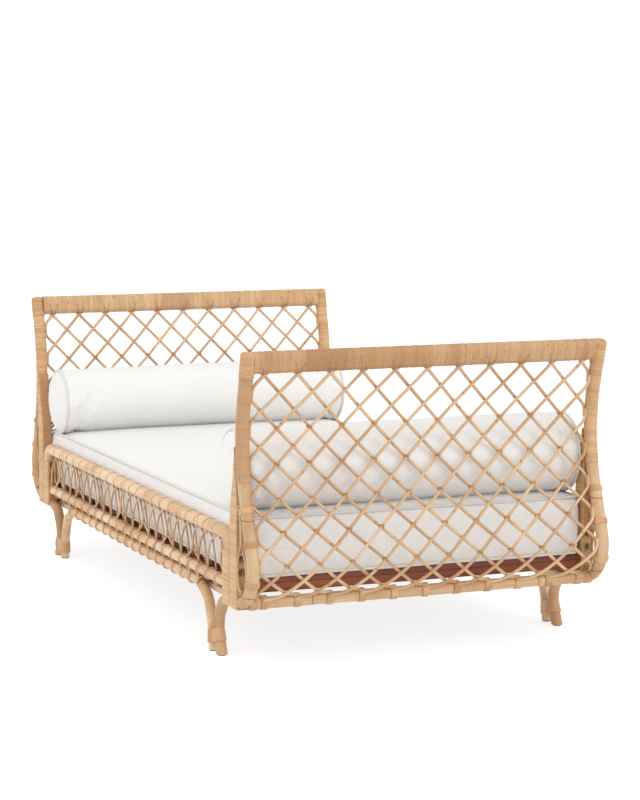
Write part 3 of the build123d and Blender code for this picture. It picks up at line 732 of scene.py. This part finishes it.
# ---------------------------------------------------------------- woven side frames
WEAVE_R = 0.0031
weave_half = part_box("right_mid_side_rail")[1].x
weave_pitch = 2 * weave_half / WEAVE_PITCHES
T_LOW, T_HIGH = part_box("right_top_side_rail")
t_z, t_r = T_HIGH.z - (T_HIGH.y - T_LOW.y) / 2, (T_HIGH.y - T_LOW.y) / 2
M_LOW, M_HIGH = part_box("right_mid_side_rail")
m_z, m_r = (M_LOW.z + M_HIGH.z) / 2, (M_HIGH.z - M_LOW.z) / 2
b_z, b_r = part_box("right_leg_rail")[1].z - m_r, m_r
FALL = [(0.012, 0.334), (-0.028, 0.319), (-0.056, 0.282), (-0.064, 0.230)]
BEHIND = [(-0.004, 0.334), (0.022, 0.316), (0.040, 0.275), (0.050, 0.230)]
CROSS_LEFT = [(0.006, 0.334), (-0.030, 0.316), (-0.040, 0.262), (-0.090, 0.230)]
CROSS_RIGHT = [(-0.006, 0.334), (0.008, 0.300), (0.040, 0.255), (0.094, 0.230)]

for side_name, side in SIDES.items():
    weave = Piece()
    for k in range(WEAVE_PITCHES + 1):
        ring_x = -weave_half + (k + 0.02) * weave_pitch
        crossing = k % 3 == WEAVE_PITCHES % 3
        left = CROSS_LEFT if crossing else FALL
        for line, out, bends in ((left, 0.0085, [0.040, 0.035]),
                                 (BEHIND, -0.0030, [0.040, 0.045])):
            points = [(ring_x + x + random.uniform(-0.002, 0.002), POLE_Y + out, z) for x, z in line]
            if all(abs(p[0]) < weave_half for p in points):
                weave.tube(rounded(points, bends, 0.004), WEAVE_R, 8)
        if (k + 1) % 3 == WEAVE_PITCHES % 3:
            points = [(ring_x + x, POLE_Y + 0.0030, z) for x, z in CROSS_RIGHT]
            if all(abs(p[0]) < weave_half for p in points):
                weave.tube(rounded(points, [0.06, 0.06], 0.004), WEAVE_R, 8)
    for ring_x in (-0.838, 0.838):
        corners = ((-0.022, 0.240), (0.022, 0.240), (0.022, 0.328), (-0.022, 0.328))
        points = [(ring_x + dx, z) for dx, z in corners]
        loop = rounded([points[-1]] + points + [points[0]], [0.0215] * 4, 0.003)[1:-1]
        weave.tube(np.stack([loop[:, 0], np.full(len(loop), POLE_Y - 0.003), loop[:, 1]], axis=1), 0.0030, 8,
                   closed=True, up=(0, 1, 0))
    rings = Piece()
    angle = np.arange(22) * 2 * math.pi / 22
    reach = t_r + 0.0004
    for k in range(1, WEAVE_PITCHES):
        ring_x = -weave_half + (k + 0.02) * weave_pitch
        lean = 0.010 * np.sin(angle) + random.uniform(-0.002, 0.002)
        loop = np.stack([ring_x + lean, POLE_Y + reach * np.cos(angle), t_z + reach * np.sin(angle)], axis=1)
        rings.tube(loop, 0.0014, 6, closed=True, up=(1, 0, 0))
    # Each fall of the weave goes on round the middle rail and the leg rail below it
    for k in range(WEAVE_PITCHES):
        ring_x = -weave_half + (k + 0.13) * weave_pitch
        if abs(ring_x) > weave_half - 0.006:
            continue
        low_reach = abs(ring_x) < 0.66
        for centre, radius, shown in ((m_z, m_r, True), (b_z, b_r, low_reach)):
            if not shown:
                continue
            y = POLE_Y if centre == m_z else LEG_Y
            loop = np.stack([ring_x + 0.005 * np.sin(angle), y + (radius + 0.0016) * np.cos(angle),
                             centre + (radius + 0.0016) * np.sin(angle)], axis=1)
            rings.tube(loop, WEAVE_R, 8, closed=True, up=(1, 0, 0))
        if low_reach:
            for out in (0.0105, -0.0105):
                between = (ring_x - 0.001, POLE_Y + out * 0.8, (m_z + b_z) / 2)
                rings.tube(np.array([(ring_x, POLE_Y + out, m_z - 0.006), between,
                                     (ring_x - 0.002, LEG_Y + out, b_z + 0.006)]), 0.0030, 8)
    mirror_left(weave, side)
    weave.build(f"{side_name}_weave_reeds", side_reed, "frame", "rattan_reed", (f"{side_name}_side_weave",))
    mirror_left(rings, side)
    rings.build(f"{side_name}_weave_rings", side_reed, "frame", "rattan_reed")

# ---------------------------------------------------------------- leg lashings
legs = Piece()
outline, normals = rounded_box(0.092, 0.0372, 0.0185, per_corner=7, per_side=5)
path = np.array([(0.7772, LEG_Y, 0.0300), (0.7680, LEG_Y, 0.0660)])
legs.wound(path, outline, normals, 0.0052, 0.0018, up=(1, 0, 0), scale=lambda t: 1 - 0.11 * t)
legs.copies([(1, -1, 1), (-1, 1, 1), (-1, -1, 1)])
legs.build("leg_wraps", lashing, "frame", "rattan_binding", ("leg_lashings",))


# ---------------------------------------------------------------- soft pieces
STUFFING = 4.0
CLOTH_STEPS = 20


def puff(name, node, voxel, cap, near_seam):
    """A stuffed cover: the CAD shape remeshed, its seams held, and blown up as cloth by no more than cap."""
    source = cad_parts[node]
    made = bpy.data.objects.new(name, source.data.copy())
    made.data.materials.clear()
    made.data.materials.append(cover)
    bpy.context.scene.collection.objects.link(made)
    bpy.context.view_layer.objects.active = made
    remesh = made.modifiers.new("remesh", "REMESH")
    remesh.mode = "VOXEL"
    remesh.voxel_size = voxel
    remesh.use_smooth_shade = True
    bpy.context.view_layer.update()
    graph = bpy.context.evaluated_depsgraph_get()
    mesh = bpy.data.meshes.new_from_object(made.evaluated_get(graph))
    made.modifiers.clear()
    made.data = mesh
    mesh.name = name
    rest = np.empty(len(mesh.vertices) * 3)
    mesh.vertices.foreach_get("co", rest)
    rest = rest.reshape(-1, 3)
    held = made.vertex_groups.new(name="held")
    for index in np.nonzero(near_seam(rest))[0]:
        held.add([int(index)], 1.0, "REPLACE")
    cloth = made.modifiers.new("cloth", "CLOTH")
    cloth.settings.quality = 4
    cloth.settings.mass = 0.3
    cloth.settings.tension_stiffness = 25
    cloth.settings.compression_stiffness = 20
    cloth.settings.shear_stiffness = 10
    cloth.settings.bending_stiffness = 0.6
    cloth.settings.use_pressure = True
    cloth.settings.uniform_pressure_force = STUFFING
    cloth.settings.shrink_min = -0.012
    cloth.settings.vertex_group_mass = "held"
    cloth.settings.effector_weights.gravity = 0
    cloth.collision_settings.use_collision = False
    cloth.point_cache.frame_start, cloth.point_cache.frame_end = 1, CLOTH_STEPS
    for step in range(1, CLOTH_STEPS + 1):
        bpy.context.scene.frame_set(step)
    graph = bpy.context.evaluated_depsgraph_get()
    blown = bpy.data.meshes.new_from_object(made.evaluated_get(graph))
    co = np.empty(len(blown.vertices) * 3)
    blown.vertices.foreach_get("co", co)
    move = co.reshape(-1, 3) - rest
    far = np.linalg.norm(move, axis=1)[:, None]
    move *= np.minimum(1, cap / np.maximum(far, 1e-9))
    made.modifiers.clear()
    mesh.vertices.foreach_set("co", (rest + move).ravel())
    bpy.context.scene.frame_set(1)
    bpy.data.meshes.remove(blown)
    mesh.polygons.foreach_set("use_smooth", [True] * len(mesh.polygons))
    mesh.update()
    return made


def reshape(made, change):
    """Moves a soft piece's points by a rule."""
    co = np.empty(len(made.data.vertices) * 3)
    made.data.vertices.foreach_get("co", co)
    co = change(co.reshape(-1, 3))
    made.data.vertices.foreach_set("co", co.ravel())
    made.data.update()


def soft(made, node, body):
    """Smooths a stuffed piece, hangs it on its body and hides the CAD node it stands for."""
    subdivide = made.modifiers.new("smooth", "SUBSURF")
    subdivide.levels = subdivide.render_levels = 1
    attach(made, body)
    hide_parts(node)


low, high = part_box("mattress")
CORNER = 0.020
PIPE_IN, PIPE_R = 0.0042, 0.0042


def mattress_seam(co):
    """The points by the two piped edges."""
    from_rim = np.minimum(np.abs(co[:, 2] - (low.z + 0.004)), np.abs(co[:, 2] - (high.z - 0.004)))
    inner_x, inner_y = high.x - CORNER, high.y - CORNER
    out_x, out_y = np.maximum(np.abs(co[:, 0]) - inner_x, 0), np.maximum(np.abs(co[:, 1]) - inner_y, 0)
    edge = np.maximum(np.abs(co[:, 0]) - high.x, np.abs(co[:, 1]) - high.y)
    round_edge = np.hypot(out_x, out_y) - CORNER
    edge = np.where((out_x > 0) & (out_y > 0), round_edge, edge)
    return (from_rim < 0.007) & (edge > -0.010)


mattress_half = (high.x, high.y)
mattress_top = high.z


def rise(x, y):
    """How far the mattress's top swells above its edges, with soft hollows."""
    across = np.clip(1 - (y / mattress_half[1]) ** 2, 0, 1)
    lengthwise = np.clip(1 - np.abs(x / mattress_half[0]) ** 12, 0, 1)
    return across * lengthwise * (0.007 + 0.0012 * np.sin(x * 9.0 + 1.3 * np.sin(y * 7)) * np.cos(y * 8.0))


def crown(co):
    """A mattress is a little higher in its middle, and its sides swell."""
    top = np.clip((co[:, 2] - low.z) / (high.z - low.z), 0, 1) ** 2
    co[:, 2] += top * rise(co[:, 0], co[:, 1])
    belly = np.sin(np.clip((co[:, 2] - low.z) / (high.z - low.z), 0, 1) * math.pi)
    co[:, 0] += np.sign(co[:, 0]) * 0.004 * belly * (np.abs(co[:, 0]) > high.x - 0.03)
    co[:, 1] += np.sign(co[:, 1]) * 0.003 * belly * (np.abs(co[:, 1]) > high.y - 0.03)
    return co


mattress = puff("mattress_cover", "mattress", 0.011, 0.006, mattress_seam)
reshape(mattress, crown)
soft(mattress, "mattress", "mattress")


def pipe(name, loops, body):
    """Round piping sewn into the seams."""
    piece = Piece()
    for loop in loops:
        piece.tube(loop, PIPE_R, 8, closed=True)
    piece.build(name, piping, body, "cushion_fabric")


def mattress_loop(z):
    """The mattress's rim, as a rounded rectangle."""
    outline, _ = rounded_box(2 * (high.x - PIPE_IN + 0.001), 2 * (high.y - PIPE_IN + 0.001), CORNER, 12, 60)
    loop = np.concatenate([outline, np.full((len(outline), 1), z)], axis=1)
    loop[:, 2] += 0.0006 * np.sin(loop[:, 0] * 13) + 0.0006 * np.sin(loop[:, 1] * 17)
    return loop


pipe("mattress_piping", [mattress_loop(high.z - PIPE_IN + 0.001), mattress_loop(low.z + PIPE_IN)], "mattress")

for name in ("bolster_foot", "bolster_head"):
    low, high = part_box(name)
    middle, radius = (low + high) / 2, (high.z - low.z) / 2

    def bolster_seam(co):
        """The points by the bolster's two piped rims."""
        out = np.hypot(co[:, 0] - middle.x, co[:, 2] - middle.z)
        return (out > radius - 0.011) & (np.abs(co[:, 1]) > high.y - 0.011)

    def slump(co):
        """Domed ends, a slightly flattened underside, and soft dents along the length."""
        out = np.hypot(co[:, 0] - middle.x, co[:, 2] - middle.z) / radius
        angle = np.arctan2(co[:, 2] - middle.z, co[:, 0] - middle.x)
        end = np.abs(co[:, 1]) > high.y - 0.012
        co[:, 1] += np.sign(co[:, 1]) * np.where(end, 0.016 * np.clip(1 - out ** 2, 0, 1), 0)
        near = np.exp(-((high.y - np.abs(co[:, 1])) / 0.05) ** 2)
        ripple = (0.0012 * np.sin(angle * 9 + co[:, 1] * 11) * near
                  + 0.0014 * np.sin(co[:, 1] * 9 + 2 * np.cos(angle + middle.x))
                  + 0.0008 * np.sin(co[:, 1] * 23 + angle * 2))
        ripple = np.where(out > 0.9, ripple, 0)
        co[:, 0] += np.cos(angle) * ripple
        co[:, 2] += np.sin(angle) * ripple
        flat = mattress_top + 0.0008 + rise(co[:, 0], co[:, 1])
        co[:, 2] = np.maximum(co[:, 2], flat + 0.1 * np.clip(co[:, 2] - flat, 0, 0.01))
        return co

    made = puff(f"{name}_cover", name, 0.008, 0.006, bolster_seam)
    reshape(made, slump)
    soft(made, name, name)
    angle = np.arange(72) * 2 * math.pi / 72
    rim_r = radius - 0.0015
    rim_z = np.maximum(middle.z + rim_r * np.sin(angle), mattress_top + PIPE_R)
    rims = [np.stack([middle.x + rim_r * np.cos(angle), np.full(72, y), rim_z], axis=1)
            for y in (low.y + 0.0035, high.y - 0.0035)]
    pipe(f"{name}_piping", rims, name)

# ---------------------------------------------------------------- stage, light and camera
FLOOR_GLOW = 0.76  # a little light from the floor itself keeps the shadow faint
SKY_STRENGTH = 1.08
CAMERA_LENS = 107.4
CAMERA_PLACE = (6.895, -2.679, 1.475)
CAMERA_TARGET = (0.254, 0.0, 0.622)

floor_mesh = bpy.data.meshes.new("floor")
floor_mesh.from_pydata([(-40, -40, 0), (40, -40, 0), (40, 40, 0), (-40, 40, 0)], [], [(0, 1, 2, 3)])
floor = bpy.data.objects.new("floor", floor_mesh)
bpy.context.scene.collection.objects.link(floor)
paint = Nodes("floor_paint")
floor_mesh.materials.append(paint.finish(rgb(150, 150, 150), 0.85, Specular_IOR_Level=0.1,
                                         Emission_Color=(1.0, 1.0, 1.0, 1.0), Emission_Strength=FLOOR_GLOW))

world = bpy.data.worlds.new("studio")
bpy.context.scene.world = world
world.use_nodes = True
world.node_tree.nodes["Background"].inputs[0].default_value = (1.0, 1.0, 1.0, 1.0)
world.node_tree.nodes["Background"].inputs[1].default_value = SKY_STRENGTH
bpy.context.scene.view_settings.view_transform = "Standard"


def area_light(name, place, target, size, power):
    """A soft rectangular light."""
    lamp = bpy.data.lights.new(name, "AREA")
    lamp.shape = "RECTANGLE"
    lamp.size, lamp.size_y = size
    lamp.energy = power
    made = bpy.data.objects.new(name, lamp)
    bpy.context.scene.collection.objects.link(made)
    made.location = place
    made.rotation_mode = "QUATERNION"
    made.rotation_quaternion = (Vector(target) - Vector(place)).to_track_quat("-Z", "Y")


area_light("key", (1.5, -4.5, 4.5), (0, 0, 0.4), (3.5, 3.5), 65)
area_light("fill", (5.5, 3.0, 3.5), (0, 0, 0.4), (4.0, 4.0), 110)

camera_data = bpy.data.cameras.new("camera")
camera_data.lens = CAMERA_LENS
camera_data.sensor_width = 36
camera = bpy.data.objects.new("camera", camera_data)
bpy.context.scene.collection.objects.link(camera)
camera.location = CAMERA_PLACE
camera.rotation_mode = "QUATERNION"
camera.rotation_quaternion = (Vector(CAMERA_TARGET) - camera.location).to_track_quat("-Z", "Y")
bpy.context.scene.camera = camera
